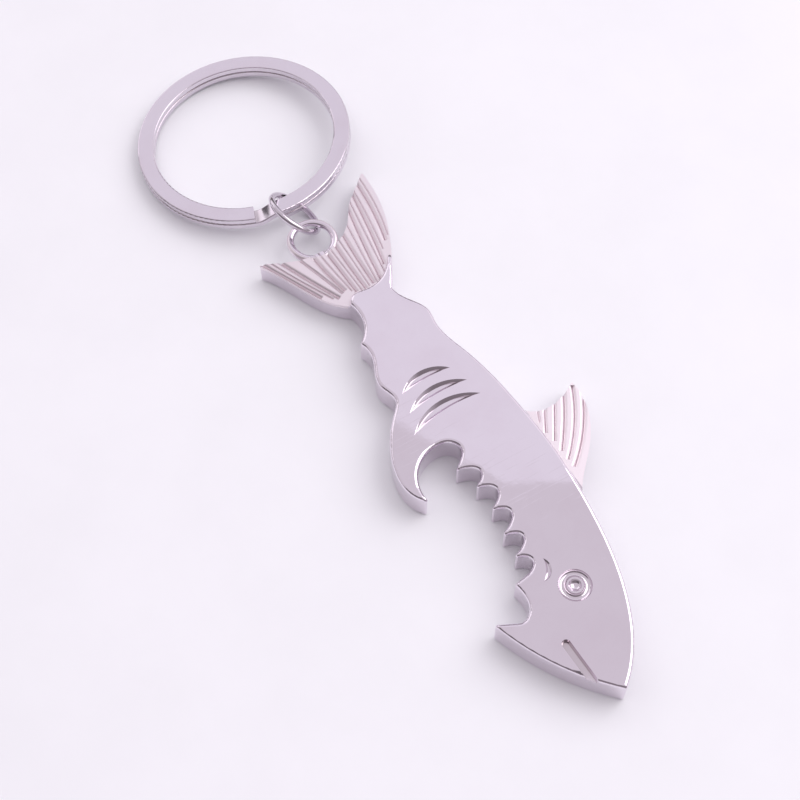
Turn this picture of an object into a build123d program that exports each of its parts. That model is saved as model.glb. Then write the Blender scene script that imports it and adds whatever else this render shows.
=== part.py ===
from build123d import *
from math import cos, radians, sin
import os

os.makedirs("parts", exist_ok=True)

# Souvenir bottle opener: a shark cast in one piece with its key loop, a jump ring and a split ring.
# Millimetres. +X runs from tail to nose, +Y to the dorsal fin, +Z out of the decorated face.
# The origin lies on the flat back, in the middle of the tail root.

# Casting
BODY_T = 4.0  # body plate, back to face
FIN_T = 3.2  # tail and dorsal fin, back to rib crests
RIM_R = 0.45  # rounding of the face's rim
BACK_RIM_R = 0.2  # rounding of the back's rim
CORNER_R = 0.22  # plan rounding of tooth tips and other sharp corners

# Key loop, cast with the tail
LOOP_HOLE_R = 2.45
LOOP_BAR_R = 0.5
LOOP_AT = (-13.32, -2.02, 2.6)

# Jump ring: round wire, closed to a hairline joint, leaning against the loop's bar
LINK_R = 3.7  # to the middle of the wire
LINK_WIRE = 0.9
LINK_AT = (-18.09, -1.99, 3.12)
LINK_LEAN = 45.5  # its axis from vertical
LINK_LEAN_TO = 94.5  # direction its axis leans towards, from +X
LINK_JOINT = 1.0  # angle left open at the joint
LINK_JOINT_AT = 150.0

# Split ring: two turns of flat strip, propped on the jump ring and on the table at its far side
RING_R = 14.85
STRIP_W = 2.25
STRIP_T = 0.86
STRIP_GAP = 0.08  # between the turns
STRIP_EDGE_R = 0.18  # rounding of the strip's edges
RING_AT = (-33.44, -1.5, 1.197)
RING_RISE = 4.62  # slope of the ring
RING_RISE_TO = 39.0  # direction it rises towards, from +X
RAMP_TOP = -8.5  # where the strip leaves the upper turn
RAMP_FOOT = -21.4  # where it reaches the lower turn
END_GAP = 0.6  # angle between the ramp and each cut end of the strip
RAMP_STEPS = 6

# Mouth: tooth tips from throat to hook, each scallop an arch leaning towards the nose
TOOTH_TIPS = [(42.1, -4.2), (39.5, -4.8), (36.4, -4.5), (32.9, -3.8), (29.4, -3.8), (26.2, -4.5)]
SCALLOP_DEPTHS = [1.7, 2.65, 2.65, 2.5, 2.4]
ARCH_LIFT = 4 / 3  # control height of a cubic arch over its crown height
ARCH_NOSE_SIDE = 0.3  # inset of the control points, as a share of the arch's width
ARCH_TAIL_SIDE = 0.1

# Other corners of the outline
NOSE = (59.7, -2.4)
JAW_TIP = (45.3, -11.2)
JAW_BACK = (46.5, -8.9)
LIP = (42.4, -6.3)
HOOK_TIP = (28.3, -9.1)
BELLY_CUSP = (4.5, -5.1)
TAIL_ROOT_TOP = (-0.7, 2.9)
TAIL_ROOT_LOW = (-1.3, -3.1)
BORDER_TIP = (-7.9, 6.5)  # end of the plain strip along the upper lobe
TAIL_TOP = (-19.5, 9.2)
TAIL_LOW = (-13.4, -10.6)
FORK = (-10.9, -2.4)
FIN_TOP = (22.9, 15.1)
FIN_FRONT = (36.2, 7.6)  # where the fin's edges meet the body
FIN_BACK = (22.9, 7.5)

# Grooves between the fin rays: outer end, middle, inner end and depth
GROOVE_SPREAD = 1.25  # half width at the crests over depth
GROOVE_LIP = 0.02  # height over the crests where a groove's sides are level
TAIL_GROOVES = [
    ((-20.0, 8.4), (-13.0, 7.9), (-8.6, 6.9), 0.2),
    ((-19.0, 7.7), (-13.0, 7.2), (-8.0, 6.2), 0.45),
    ((-18.5, 6.8), (-13.0, 6.2), (-7.0, 5.2), 0.2),
    ((-17.5, 6.3), (-11.0, 5.3), (-4.8, 4.1), 0.45),
    ((-16.5, 5.4), (-10.0, 4.4), (-3.5, 3.5), 0.2),
    ((-15.5, 4.6), (-8.5, 3.3), (-2.9, 2.5), 0.45),
    ((-14.5, 3.3), (-8.5, 2.5), (-2.9, 1.9), 0.2),
    ((-13.0, 1.9), (-7.5, 1.5), (-2.9, 1.4), 0.45),
    ((-12.5, 0.9), (-7.5, 0.8), (-2.8, 0.7), 0.2),
    ((-12.5, 0.1), (-7.5, 0.0), (-2.7, 0.1), 0.45),
    ((-12.5, -0.9), (-7.5, -0.7), (-2.6, -0.5), 0.2),
    ((-12.0, -1.6), (-7.5, -1.4), (-2.9, -1.2), 0.45),
    ((-12.0, -2.6), (-7.5, -2.2), (-3.3, -1.7), 0.2),
    ((-12.0, -3.5), (-7.5, -3.1), (-3.8, -2.4), 0.45),
    ((-12.5, -5.6), (-8.0, -4.2), (-3.6, -2.9), 0.3),
    ((-13.5, -8.1), (-8.0, -5.8), (-3.2, -3.6), 0.45),
    ((-13.8, -9.2), (-8.5, -6.9), (-3.5, -4.4), 0.2),
    ((-13.8, -10.1), (-9.0, -7.8), (-4.4, -5.6), 0.45),
]
DORSAL_GROOVES = [
    ((24.6, 15.6), (30.0, 11.9), (33.0, 8.7), 0.45),
    ((23.3, 14.9), (28.6, 11.6), (31.8, 8.6), 0.4),
    ((23.3, 13.6), (27.6, 10.8), (30.4, 8.6), 0.45),
    ((23.7, 12.0), (26.4, 10.2), (28.8, 8.6), 0.35),
    ((23.9, 10.4), (25.6, 9.3), (27.3, 8.3), 0.35),
    ((23.6, 9.35), (24.7, 8.9), (25.65, 8.45), 0.25),
]

# Details sunk into the face
GILL_DEPTH = 0.4
GILL_TAPER = 45
GILLS = [  # upper end, middle of the tail side, middle of the nose side, lower end
    ((13.5, 2.8), (12.0, -0.6), (13.25, -0.7), (13.8, -4.4)),
    ((16.1, 3.7), (14.6, -0.5), (15.9, -0.7), (16.6, -5.0)),
    ((18.6, 4.1), (16.95, -0.7), (18.35, -1.0), (19.5, -6.1)),
]
CHEEK = ((41.4, -1.65), (43.4, -1.75), (42.9, -2.2), (43.95, -3.2))
CHEEK_DEPTH = 0.2
CHEEK_TAPER = 48
EYE_AT = (46.2, -0.33)
EYE_GROOVE_R = (1.05, 1.5, 2.05)  # inner edge, bottom and outer edge of the ring groove
EYE_GROOVE_DEPTH = 0.45
PUPIL_R = 0.8
PUPIL_DEPTH = 0.45
PUPIL_ROUND = (0.5, 0.32)  # a point on the pupil's bowl: out from the middle, and down
SLOT_FROM = (51.7, -5.3)  # centre of the slot's round end
SLOT_W = 1.1
SLOT_DEPTH = 0.7
SLOT_TAPER = 12
SLOT_LENGTH = 9.0  # runs out through the jaw's edge
SLOT_ANGLE = 1.8
CLEAR = 0.1  # cutters stand this far out of the surface they cut


def near(corners):
    """A filter for the vertices that lie on the given corners."""
    return lambda v: any(abs(v.X - x) < 0.01 and abs(v.Y - y) < 0.01 for x, y in corners)


def leaning_plane(at, lean, towards):
    """A plane whose normal leans from vertical towards a direction; its X axis stays near +X."""
    tilt, way = radians(lean), radians(towards)
    normal = Vector(sin(tilt) * cos(way), sin(tilt) * sin(way), cos(tilt))
    return Plane(at, x_dir=Vector(0, 1, 0).cross(normal), z_dir=normal)


def radial_plane(base, angle):
    """The half plane at an angle round a base plane's normal: X runs outwards, Y along the normal."""
    outwards = base.x_dir.rotate(Axis(Vector(0, 0, 0), base.z_dir), angle)
    return Plane(base.origin, x_dir=outwards, z_dir=outwards.cross(base.z_dir))


with BuildPart() as opener_body:
    # Forked tail fin
    with BuildSketch() as tail_outline:
        with BuildLine():
            Spline(TAIL_TOP, (-16.8, 9.15), (-13.4, 8.7), (-8.5, 7.1), (-4.5, 5.1), TAIL_ROOT_TOP)
            Line(TAIL_ROOT_TOP, TAIL_ROOT_LOW)
            Spline(TAIL_ROOT_LOW, (-3.0, -4.9), (-6.6, -7.0), TAIL_LOW)
            Spline(TAIL_LOW, (-12.1, -7.7), (-10.95, -4.6), FORK)
            Spline(FORK, (-11.25, 0.8), (-13.25, 3.4), (-15.25, 4.7), (-17.4, 6.9), TAIL_TOP)
        make_face()
        fillet(tail_outline.vertices().filter_by(near([TAIL_TOP, TAIL_LOW])), CORNER_R)
    # Dorsal fin, its foot inside the body plate
    with BuildSketch():
        with BuildLine():
            Spline(FIN_TOP, (25.6, 15.1), (28.6, 14.0), (31.7, 11.8), (33.7, 9.8), FIN_FRONT)
            Polyline(FIN_FRONT, (34.0, 5.0), (25.0, 5.0), FIN_BACK)
            Spline(FIN_BACK, (24.3, 9.6), (24.0, 12.9), FIN_TOP)
        make_face()
    extrude(amount=FIN_T)

    # Grooves between the rays. A groove's sides are arcs that level out, so the rays between are round
    for outer, middle, inner, depth in TAIL_GROOVES + DORSAL_GROOVES:
        half, drop = depth * GROOVE_SPREAD, depth + GROOVE_LIP
        side_r = (half**2 + drop**2) / (2 * drop)
        with BuildLine(Plane.XY.offset(FIN_T)) as run:
            Spline(outer, middle, inner)
        with BuildSketch(Plane(run.line @ 0, x_dir=(0, 0, 1), z_dir=run.line % 0)):
            with BuildLine():
                RadiusArc((GROOVE_LIP, -half), (-depth, 0), -side_r)
                RadiusArc((-depth, 0), (GROOVE_LIP, half), -side_r)
                Polyline((GROOVE_LIP, half), (CLEAR, half), (CLEAR, -half), (GROOVE_LIP, -half))
            make_face()
        sweep(path=run.line, mode=Mode.SUBTRACT)

    # Body plate: back, jaw, mouth, hook, belly, and the curve where the tail ribs begin
    with BuildSketch() as body_outline:
        with BuildLine():
            Spline(
                TAIL_ROOT_TOP, (1.6, 3.75), (4.5, 5.2), (6.6, 5.0), (12, 5.95), (23, 7.6),
                (30, 7.85), (37, 7.35), (44, 6.25), (51, 4.1), (56, 1.3), NOSE,
            )
            ThreePointArc(NOSE, (53.2, -7.65), JAW_TIP)
            Line(JAW_TIP, JAW_BACK)
            Spline(JAW_BACK, (46.7, -7.5), (45.6, -6.35), (44.0, -6.05), LIP)
            Line(LIP, TOOTH_TIPS[0])
            for right, left, depth in zip(TOOTH_TIPS, TOOTH_TIPS[1:], SCALLOP_DEPTHS):
                width = right[0] - left[0]
                lift = ARCH_LIFT * depth
                Bezier(
                    right,
                    (right[0] - ARCH_NOSE_SIDE * width, right[1] + lift),
                    (left[0] + ARCH_TAIL_SIDE * width, left[1] + lift),
                    left,
                )
            Spline(
                TOOTH_TIPS[-1], (25.0, -2.8), (23.8, -2.1), (22.5, -2.8), (22.1, -5.0),
                (23.2, -7.5), (25.5, -9.05), HOOK_TIP,
            )
            Spline(
                HOOK_TIP, (25.4, -10.85), (21.5, -10.45), (15.5, -6.7), (13.8, -5.5),
                (11.3, -6.1), (7.0, -4.8), BELLY_CUSP,
            )
            Spline(BELLY_CUSP, (3.0, -3.6), (0.5, -2.85), TAIL_ROOT_LOW)
            Spline(TAIL_ROOT_LOW, (-2.5, -2.0), (-2.4, 0.0), (-2.7, 2.0), (-4.4, 4.2), BORDER_TIP)
            Spline(BORDER_TIP, (-4.4, 5.0), TAIL_ROOT_TOP)
        make_face()
        sharp = [NOSE, JAW_TIP, LIP, HOOK_TIP, BELLY_CUSP, BORDER_TIP, *TOOTH_TIPS[1:]]
        fillet(body_outline.vertices().filter_by(near(sharp)), CORNER_R)
    extrude(amount=BODY_T)
    fillet(opener_body.faces().sort_by(Axis.Z)[-1].edges(), RIM_R)
    fillet(opener_body.faces().sort_by(Axis.Z)[0].edges(), BACK_RIM_R)

    # Key loop
    with Locations(LOOP_AT):
        Torus(LOOP_HOLE_R + LOOP_BAR_R, LOOP_BAR_R)

    # Gills: three tapering crescents
    face = Plane.XY.offset(BODY_T)
    with BuildSketch(face):
        for top, tail_side, nose_side, bottom in GILLS:
            with BuildLine():
                ThreePointArc(top, tail_side, bottom)
                ThreePointArc(bottom, nose_side, top)
            make_face()
    extrude(amount=-GILL_DEPTH, taper=GILL_TAPER, mode=Mode.SUBTRACT)

    # Cheek fold: a shallow crescent dent
    start, outer_middle, inner_middle, end = CHEEK
    with BuildSketch(face):
        with BuildLine():
            ThreePointArc(start, outer_middle, end)
            ThreePointArc(end, inner_middle, start)
        make_face()
    extrude(amount=-CHEEK_DEPTH, taper=CHEEK_TAPER, mode=Mode.SUBTRACT)

    # Eye: a round-bottomed ring groove around a bowl
    inner, middle, outer = EYE_GROOVE_R
    with BuildSketch(Plane((*EYE_AT, BODY_T), x_dir=(1, 0, 0), z_dir=(0, -1, 0))):
        with BuildLine():
            ThreePointArc((inner, 0), (middle, -EYE_GROOVE_DEPTH), (outer, 0))
            Polyline((outer, 0), (outer, CLEAR), (inner, CLEAR), (inner, 0))
        make_face()
        with BuildLine():
            ThreePointArc((0, -PUPIL_DEPTH), (PUPIL_ROUND[0], -PUPIL_ROUND[1]), (PUPIL_R, 0))
            Polyline((PUPIL_R, 0), (PUPIL_R, CLEAR), (0, CLEAR), (0, -PUPIL_DEPTH))
        make_face()
    revolve(axis=Axis((*EYE_AT, 0), (0, 0, 1)), mode=Mode.SUBTRACT)

    # Mouth line in the snout: a round-ended slot that runs out through the jaw's edge
    slot_plane = Plane((*SLOT_FROM, BODY_T), x_dir=Vector(1, 0, 0).rotate(Axis.Z, SLOT_ANGLE))
    with BuildSketch(slot_plane):
        with Locations((SLOT_LENGTH / 2, 0)):
            SlotCenterToCenter(SLOT_LENGTH, SLOT_W)
    extrude(amount=-SLOT_DEPTH, taper=SLOT_TAPER, mode=Mode.SUBTRACT)

opener_body.part.label = "opener_body"
export_step(opener_body.part, "parts/opener_body.step")

# Jump ring
link_plane = leaning_plane(LINK_AT, LINK_LEAN, LINK_LEAN_TO)
with BuildPart() as jump_ring:
    with BuildSketch(radial_plane(link_plane, LINK_JOINT_AT)):
        with Locations((LINK_R, 0)):
            Circle(LINK_WIRE / 2)
    revolve(axis=Axis(link_plane.origin, link_plane.z_dir), revolution_arc=360 - LINK_JOINT)

jump_ring.part.label = "jump_ring"
export_step(jump_ring.part, "parts/jump_ring.step")

# Split ring: the upper turn, the ramp down through the gap, and the lower turn
ring_plane = leaning_plane(RING_AT, -RING_RISE, RING_RISE_TO)
ring_axis = Axis(ring_plane.origin, ring_plane.z_dir)
strip_mid_r = RING_R - STRIP_W / 2
lower_z = STRIP_T / 2
upper_z = lower_z + STRIP_T + STRIP_GAP
turn = 360 + RAMP_FOOT - RAMP_TOP - END_GAP
with BuildPart() as split_ring:
    with BuildSketch(radial_plane(ring_plane, RAMP_TOP)):
        with Locations((strip_mid_r, upper_z)):
            RectangleRounded(STRIP_W, STRIP_T, STRIP_EDGE_R)
    revolve(axis=ring_axis, revolution_arc=turn)
    with BuildSketch(radial_plane(ring_plane, RAMP_FOOT)):
        with Locations((strip_mid_r, lower_z)):
            RectangleRounded(STRIP_W, STRIP_T, STRIP_EDGE_R)
    revolve(axis=ring_axis, revolution_arc=-turn)
    for step in range(RAMP_STEPS + 1):
        share = step / RAMP_STEPS
        drop = (1 - cos(share * radians(180))) / 2
        with BuildSketch(radial_plane(ring_plane, RAMP_TOP + share * (RAMP_FOOT - RAMP_TOP))):
            with Locations((strip_mid_r, upper_z - drop * (upper_z - lower_z))):
                RectangleRounded(STRIP_W, STRIP_T, STRIP_EDGE_R)
    loft()

split_ring.part.label = "split_ring"
export_step(split_ring.part, "parts/split_ring.step")
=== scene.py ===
import math

import bpy
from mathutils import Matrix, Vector

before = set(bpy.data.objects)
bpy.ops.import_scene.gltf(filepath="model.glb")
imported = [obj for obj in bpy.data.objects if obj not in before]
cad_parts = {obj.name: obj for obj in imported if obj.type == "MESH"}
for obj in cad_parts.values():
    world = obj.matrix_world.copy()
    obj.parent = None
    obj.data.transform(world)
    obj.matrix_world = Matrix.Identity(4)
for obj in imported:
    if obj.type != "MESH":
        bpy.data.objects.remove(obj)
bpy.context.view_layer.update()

# Metres. +X runs from tail to nose, +Y to the dorsal fin, +Z out of the decorated face.
MM = 0.001

# Camera
AZIMUTH = 58.88
ELEVATION = 60.55
DISTANCE = 200 * MM
TARGET = Vector((12.365, -3.867, 0)) * MM
LENS = 70.4
SENSOR = 36.0
NEAR_CLIP = 1 * MM

# Sky colours, linear: the plating mirrors them
SKY = (  # height, colour
    (0.0, (0.34, 0.30, 0.33)),
    (0.3, (0.60, 0.55, 0.60)),
    (0.6, (0.66, 0.61, 0.66)),
    (1.0, (0.71, 0.66, 0.72)),
)
CEILING = (0.83, 0.785, 0.865)
CEILING_AT = (AZIMUTH + 180, 50)  # azimuth and elevation
CEILING_REACH = (30, 45)  # inner and outer angle
FACE_HEIGHT = 4.0  # of the decorated face, mm
BORDER = ((19.1, -5.8), (31.0, 0.2), (35.5, 7.8))  # the ceiling's edge as the face mirrors it, mm
EDGE_WAVE = 0.006
EDGE_RIPPLES = 12.0
EDGE_SOFT = 0.002
FILL = 1.5  # how much stronger the sky lights the matt floor
PATCHES = (  # azimuth, elevation, inner and outer angle, sideways stretch, colour
    (AZIMUTH + 180, 8, 10, 20, 2.2, (0.20, 0.18, 0.19)),  # dark wall beyond the object
    (AZIMUTH - 138, 26, 12, 22, 1.4, (1.15, 1.09, 1.16)),  # window on the left
    (AZIMUTH + 134, 26, 12, 22, 1.3, (0.98, 0.92, 0.99)),  # window on the right
    (AZIMUTH, 38, 18, 28, 2.2, (0.23, 0.20, 0.22)),  # the photographer
    (AZIMUTH - 50, 32, 14, 22, 1.3, (0.15, 0.13, 0.145)),  # the photographer's arm
    (AZIMUTH - 121, 25, 4, 7, 1.0, (0.07, 0.06, 0.07)),  # a dark door, mirrored by the strip's ramp
)

# Key light
KEY_AT = (170, 45)  # azimuth and elevation
KEY_DISTANCE = 0.6
KEY_SIDE = 0.5
KEY_POWER = 1.2
KEY_COLOUR = (1.0, 0.97, 1.0)

# Floor
FLOOR = (0.878, 0.893, 0.905)
FLOOR_SHADE = 0.97  # its darker patches
FLOOR_HALF = 6.0
FLOOR_DROP = 0.02 * MM
FLOOR_CLOUDS = 40.0
FLOOR_ROUGHNESS = 0.85
FLOOR_SPECULAR = 0.15

# Plate, linear
PLATE = (0.86, 0.80, 0.87)
# Painted shade: the wire and the strip get darker copies of the plate colour
WIRE_PAINTED_SHADE = 0.84
STRIP_PAINTED_SHADE = 0.92
WARM = (0.965, 0.95, 0.955)  # tint of the dull patches
FILM_SCALE = 160.0
FILM_DULLING = 1.9
HAIRLINES = ((0.5, 3600.0), (-0.9, 5200.0))  # direction in radians, scale
HAIRLINE_LENGTH = 0.03  # scale along the line over scale across it
HAIRLINE_KEEP = (0.66, 0.74)  # noise below the first is left out, above the second is full
HAIRLINE_ROUGHNESS = 0.10
WAVE_SCALE = 95.0
WAVE_HEIGHT = 0.4 * MM
WAVE_STRENGTH = 10  # times the waviness
PEEL_SCALE = 900.0
PEEL_HEIGHT = 0.03 * MM
PEEL_STRENGTH = 0.03
SCRATCH_HEIGHT = 0.01 * MM
SCRATCH_STRENGTH = 0.12

# Painted shade: grooves and corners darkened through an ambient-occlusion mask
PAINTED_CREVICE_SHADE = (0.64, 0.58, 0.60)
CREVICE = 1.3 * MM  # its reach out of a corner
CREVICE_DARK = 0.4  # openness at which it is full, and where it ends
CREVICE_LIGHT = 0.9
CREVICE_SAMPLES = 6

# The fins' matt ribs
CAST = (0.95, 0.87, 0.90)
CAST_COVER = 0.85  # how far it hides the painted crevice shade between them
FIN_RIBS = (2.7 * MM, 3.3 * MM)  # the ribs lie between these heights
TAIL_ROOT = -1.5 * MM  # tailwards of this line, or above the next
BACK_LINE = 7.9 * MM
LOOP = Vector((-13.32, -2.02, 2.6)) * MM  # the key loop, which isn't matt
LOOP_REACH = 3.1 * MM


# Shader nodes
def feed(tree, put, value):
    """Gives an input a number, a colour, or another node's output."""
    if isinstance(value, bpy.types.NodeSocket):
        tree.links.new(value, put)
    else:
        put.default_value = value


def node(tree, kind, **inputs):
    """A shader node with its inputs fed by name."""
    made = tree.nodes.new(kind)
    for name, value in inputs.items():
        feed(tree, made.inputs[name.replace("_", " ")], value)
    return made


def maths(tree, operation, *values):
    """The result of a sum on numbers or outputs."""
    made = tree.nodes.new("ShaderNodeMath")
    made.operation = operation
    for put, value in zip(made.inputs, values):
        feed(tree, put, value)
    return made.outputs["Value"]


def vector_maths(tree, operation, *values):
    """The number that comes of two vectors."""
    made = tree.nodes.new("ShaderNodeVectorMath")
    made.operation = operation
    for put, value in zip(made.inputs, values):
        feed(tree, put, value)
    return made.outputs["Value"]


def noise(tree, where, scale, detail, roughness=0.5):
    made = node(
        tree, "ShaderNodeTexNoise", Vector=where, Scale=scale, Detail=detail, Roughness=roughness
    )
    return made.outputs["Fac"]


def ramp(tree, source, stops):
    """A source mapped through grey or colour stops: (position, value)."""
    made = node(tree, "ShaderNodeValToRGB", Fac=source)
    made.color_ramp.interpolation = "EASE"
    while len(made.color_ramp.elements) < len(stops):
        made.color_ramp.elements.new(0.5)
    for element, (position, value) in zip(made.color_ramp.elements, stops):
        element.position = position
        element.color = (*value, 1) if isinstance(value, tuple) else (value, value, value, 1)
    return made.outputs["Color"]


def fade(tree, source, start, end, low=0.0, high=1.0):
    """A smooth step from low to high as the source goes from start to end."""
    made = node(
        tree, "ShaderNodeMapRange",
        Value=source, From_Min=start, From_Max=end, To_Min=low, To_Max=high,
    )
    made.interpolation_type = "SMOOTHSTEP"
    return made.outputs["Result"]


def lay_over(tree, under, factor, colour):
    """A colour mixed over another where the factor says."""
    mix = tree.nodes.new("ShaderNodeMix")
    mix.data_type = "RGBA"
    tree.links.new(factor, mix.inputs[0])
    tree.links.new(under, mix.inputs["A"])
    mix.inputs["B"].default_value = (*colour, 1)
    return mix.outputs["Result"]


def new_material(name):
    """A material with its tree, its shader and its object coordinates."""
    material = bpy.data.materials.new(name)
    material.use_nodes = True
    tree = material.node_tree
    where = tree.nodes.new("ShaderNodeTexCoord").outputs["Object"]
    return material, tree, tree.nodes["Principled BSDF"], where


# Plating
def fin_area(tree, where):
    """1 on the fins' ribs and 0 on the rest of the casting."""
    place = node(tree, "ShaderNodeSeparateXYZ", Vector=where).outputs
    found = maths(
        tree, "MAXIMUM",
        maths(tree, "LESS_THAN", place["X"], TAIL_ROOT),
        maths(tree, "GREATER_THAN", place["Y"], BACK_LINE),
    )
    from_loop = vector_maths(tree, "DISTANCE", where, LOOP)
    for test in (
        maths(tree, "GREATER_THAN", place["Z"], FIN_RIBS[0]),
        maths(tree, "LESS_THAN", place["Z"], FIN_RIBS[1]),
        maths(tree, "GREATER_THAN", from_loop, LOOP_REACH),
    ):
        found = maths(tree, "MULTIPLY", found, test)
    return found


def hairlines(tree, where):
    """Fine scratches: noise stretched along two directions, kept only at its peaks."""
    lines = []
    for turn, scale in HAIRLINES:
        lay = node(
            tree, "ShaderNodeMapping",
            Vector=where, Rotation=(0, 0, turn), Scale=(1.0, HAIRLINE_LENGTH, 1.0),
        )
        hair = noise(tree, lay.outputs["Vector"], scale, 2.0)
        lines.append(ramp(tree, hair, [(HAIRLINE_KEEP[0], 0.0), (HAIRLINE_KEEP[1], 1.0)]))
    return maths(tree, "MAXIMUM", *lines)


def plated(name, tint, waviness=0.02, roughness=0.04, scratch=1.0, matt_fins=0.0):
    """Polished plating: casting waves, fine hairlines, and a film that dulls it in patches."""
    material, tree, shader, where = new_material(name)
    shader.inputs["Metallic"].default_value = 1.0
    film = noise(tree, where, FILM_SCALE, 5.0, 0.6)
    scratches = hairlines(tree, where)
    fins = fin_area(tree, where)

    # Roughness
    dull = ramp(tree, film, [(0.35, roughness), (0.75, roughness * FILM_DULLING)])
    rough = maths(tree, "MULTIPLY_ADD", scratches, HAIRLINE_ROUGHNESS * scratch, dull)
    frosted = maths(tree, "MULTIPLY_ADD", fins, matt_fins, rough)
    tree.links.new(frosted, shader.inputs["Roughness"])

    # Colour: warmer in the dull patches, painted shade in the corners and grooves, and the fins' own
    warm = tuple(c * k for c, k in zip(tint, WARM))
    colour = ramp(tree, film, [(0.3, tint), (0.8, warm)])
    # Painted shade: ambient occlusion darkens the colour in grooves and corners, where shade falls
    corner = node(tree, "ShaderNodeAmbientOcclusion", Distance=CREVICE)
    corner.samples = CREVICE_SAMPLES
    corner.only_local = True
    crevice_shade = ramp(tree, corner.outputs["AO"], [(CREVICE_DARK, 1.0), (CREVICE_LIGHT, 0.0)])
    colour = lay_over(tree, colour, crevice_shade, PAINTED_CREVICE_SHADE)
    if matt_fins:
        colour = lay_over(tree, colour, maths(tree, "MULTIPLY", fins, CAST_COVER), CAST)
    tree.links.new(colour, shader.inputs["Base Color"])

    # Relief: long waves, orange peel and scratches
    normal = node(
        tree, "ShaderNodeBump", Strength=waviness * WAVE_STRENGTH, Distance=WAVE_HEIGHT,
        Height=noise(tree, where, WAVE_SCALE, 1.0, 0.4),
    )
    normal = node(
        tree, "ShaderNodeBump", Strength=PEEL_STRENGTH, Distance=PEEL_HEIGHT,
        Height=noise(tree, where, PEEL_SCALE, 2.0), Normal=normal.outputs["Normal"],
    )
    normal = node(
        tree, "ShaderNodeBump", Strength=SCRATCH_STRENGTH * scratch, Distance=SCRATCH_HEIGHT,
        Height=scratches, Normal=normal.outputs["Normal"],
    )
    normal.invert = True
    tree.links.new(normal.outputs["Normal"], shader.inputs["Normal"])
    return material


def shaded(colour, shade):
    return tuple(c * shade for c in colour)


def dress(name, material):
    """Gives a CAD node its material."""
    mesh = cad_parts[name].data
    mesh.materials.clear()
    mesh.materials.append(material)
    for face in mesh.polygons:
        face.material_index = 0


dress(
    "opener_body",
    plated("plated_casting", PLATE, waviness=0.003, roughness=0.02, scratch=0.5, matt_fins=0.34),
)
# The wire and the strip carry the plate colour darkened as painted shade
dress("jump_ring", plated("plated_wire", shaded(PLATE, WIRE_PAINTED_SHADE), roughness=0.06))
dress("split_ring", plated("plated_strip", shaded(PLATE, STRIP_PAINTED_SHADE), roughness=0.09))


# Floor
def build_floor():
    material, tree, shader, where = new_material("floor")
    shader.inputs["Roughness"].default_value = FLOOR_ROUGHNESS
    shader.inputs["Specular IOR Level"].default_value = FLOOR_SPECULAR
    cloud = noise(tree, where, FLOOR_CLOUDS, 6.0, 0.6)
    tone = ramp(tree, cloud, [(0.3, FLOOR), (0.7, shaded(FLOOR, FLOOR_SHADE))])
    tree.links.new(tone, shader.inputs["Base Color"])

    mesh = bpy.data.meshes.new("floor")
    corners = [(x * FLOOR_HALF, y * FLOOR_HALF, 0) for x, y in ((-1, -1), (1, -1), (1, 1), (-1, 1))]
    mesh.from_pydata(corners, [], [(0, 1, 2, 3)])
    mesh.materials.append(material)
    floor = bpy.data.objects.new("floor", mesh)
    bpy.context.scene.collection.objects.link(floor)
    floor.location.z = -FLOOR_DROP


build_floor()


# Studio: a pale sky with windows, darker where the photographer stands
def toward(azimuth, elevation):
    """The unit vector from the object towards a camera-style azimuth and elevation."""
    a, e = math.radians(azimuth), math.radians(elevation)
    return Vector((math.sin(a) * math.cos(e), -math.cos(a) * math.cos(e), math.sin(e)))


def seen_from(x, y):
    """Where the face, at a point in millimetres, mirrors the camera to."""
    eye = TARGET + toward(AZIMUTH, ELEVATION) * DISTANCE
    ray = (Vector((x, y, FACE_HEIGHT)) * MM - eye).normalized()
    return Vector((ray.x, ray.y, -ray.z))


def lobe(tree, where, azimuth, elevation, inner, outer, wide=1.0):
    """A soft patch of sky: 1 inside the inner angle, 0 past the outer; wide stretches it sideways."""
    middle = toward(azimuth, elevation)
    side = toward(azimuth + 90, 0)
    up = side.cross(middle)
    parts = []
    for axis in (side / wide, up):
        along = vector_maths(tree, "DOT_PRODUCT", where, axis)
        parts.append(maths(tree, "MULTIPLY", along, along))
    start, end = (math.sin(math.radians(angle)) ** 2 for angle in (inner, outer))
    patch = fade(tree, maths(tree, "ADD", *parts), start, end, 1.0, 0.0)
    front = maths(tree, "GREATER_THAN", vector_maths(tree, "DOT_PRODUCT", where, middle), 0.0)
    return maths(tree, "MULTIPLY", patch, front)


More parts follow.
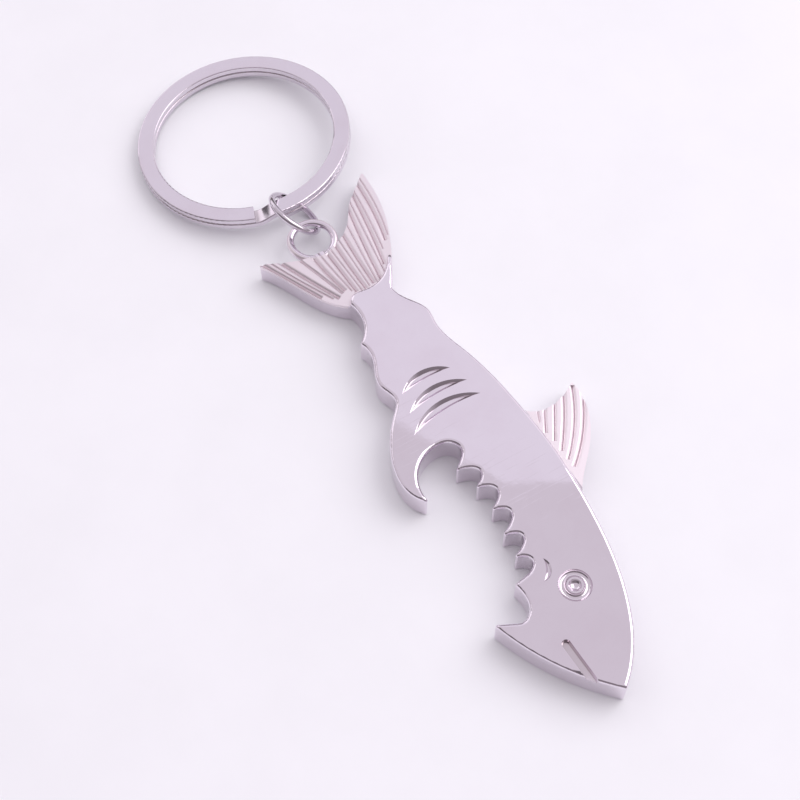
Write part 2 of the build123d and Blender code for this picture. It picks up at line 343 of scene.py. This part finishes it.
def ceiling_side(tree, where):
    """1 on the side of the ceiling's two edges that the tail half mirrors, and 0 beyond."""
    sides = []
    for start, end in zip(BORDER, BORDER[1:]):
        edge = seen_from(*start).cross(seen_from(*end)).normalized()
        if edge.dot(seen_from(0, 0)) < 0:
            edge.negate()
        sides.append(vector_maths(tree, "DOT_PRODUCT", where, edge))
    nearer = maths(tree, "MINIMUM", *sides)
    waved = maths(tree, "MULTIPLY_ADD", noise(tree, where, EDGE_RIPPLES, 1.0), EDGE_WAVE, nearer)
    return fade(tree, waved, EDGE_WAVE / 2 - EDGE_SOFT, EDGE_WAVE / 2 + EDGE_SOFT)


def build_world():
    world = bpy.data.worlds.new("studio")
    bpy.context.scene.world = world
    world.use_nodes = True
    tree = world.node_tree
    background = tree.nodes["Background"]
    where = tree.nodes.new("ShaderNodeTexCoord").outputs["Generated"]
    height = node(tree, "ShaderNodeSeparateXYZ", Vector=where).outputs["Z"]
    colour = ramp(tree, height, SKY)
    ceiling = lobe(tree, where, *CEILING_AT, *CEILING_REACH)
    ceiling = maths(tree, "MULTIPLY", ceiling_side(tree, where), ceiling)
    colour = lay_over(tree, colour, ceiling, CEILING)
    for azimuth, elevation, inner, outer, wide, shade in PATCHES:
        patch = lobe(tree, where, azimuth, elevation, inner, outer, wide)
        colour = lay_over(tree, colour, patch, shade)
    tree.links.new(colour, background.inputs["Color"])

    # The floor gets a stronger sky than the plating mirrors
    diffuse = tree.nodes.new("ShaderNodeLightPath").outputs["Is Diffuse Ray"]
    power = maths(tree, "MULTIPLY_ADD", diffuse, FILL - 1, 1.0)
    tree.links.new(power, background.inputs["Strength"])


build_world()


def aim(thing, at, look):
    """Puts a lamp or camera into the scene at a place, looking at a point."""
    bpy.context.scene.collection.objects.link(thing)
    thing.location = at
    thing.rotation_euler = (look - at).to_track_quat("-Z", "Y").to_euler()


def build_key():
    light = bpy.data.lights.new("key", "AREA")
    light.shape = "SQUARE"
    light.size = KEY_SIDE
    light.energy = KEY_POWER
    light.color = KEY_COLOUR
    aim(bpy.data.objects.new("key", light), TARGET + toward(*KEY_AT) * KEY_DISTANCE, TARGET)


def build_camera():
    data = bpy.data.cameras.new("camera")
    data.sensor_width = SENSOR
    data.lens = LENS
    data.clip_start = NEAR_CLIP
    camera = bpy.data.objects.new("camera", data)
    aim(camera, TARGET + toward(AZIMUTH, ELEVATION) * DISTANCE, TARGET)
    bpy.context.scene.camera = camera


build_key()
build_camera()
bpy.context.scene.view_settings.view_transform = "Standard"
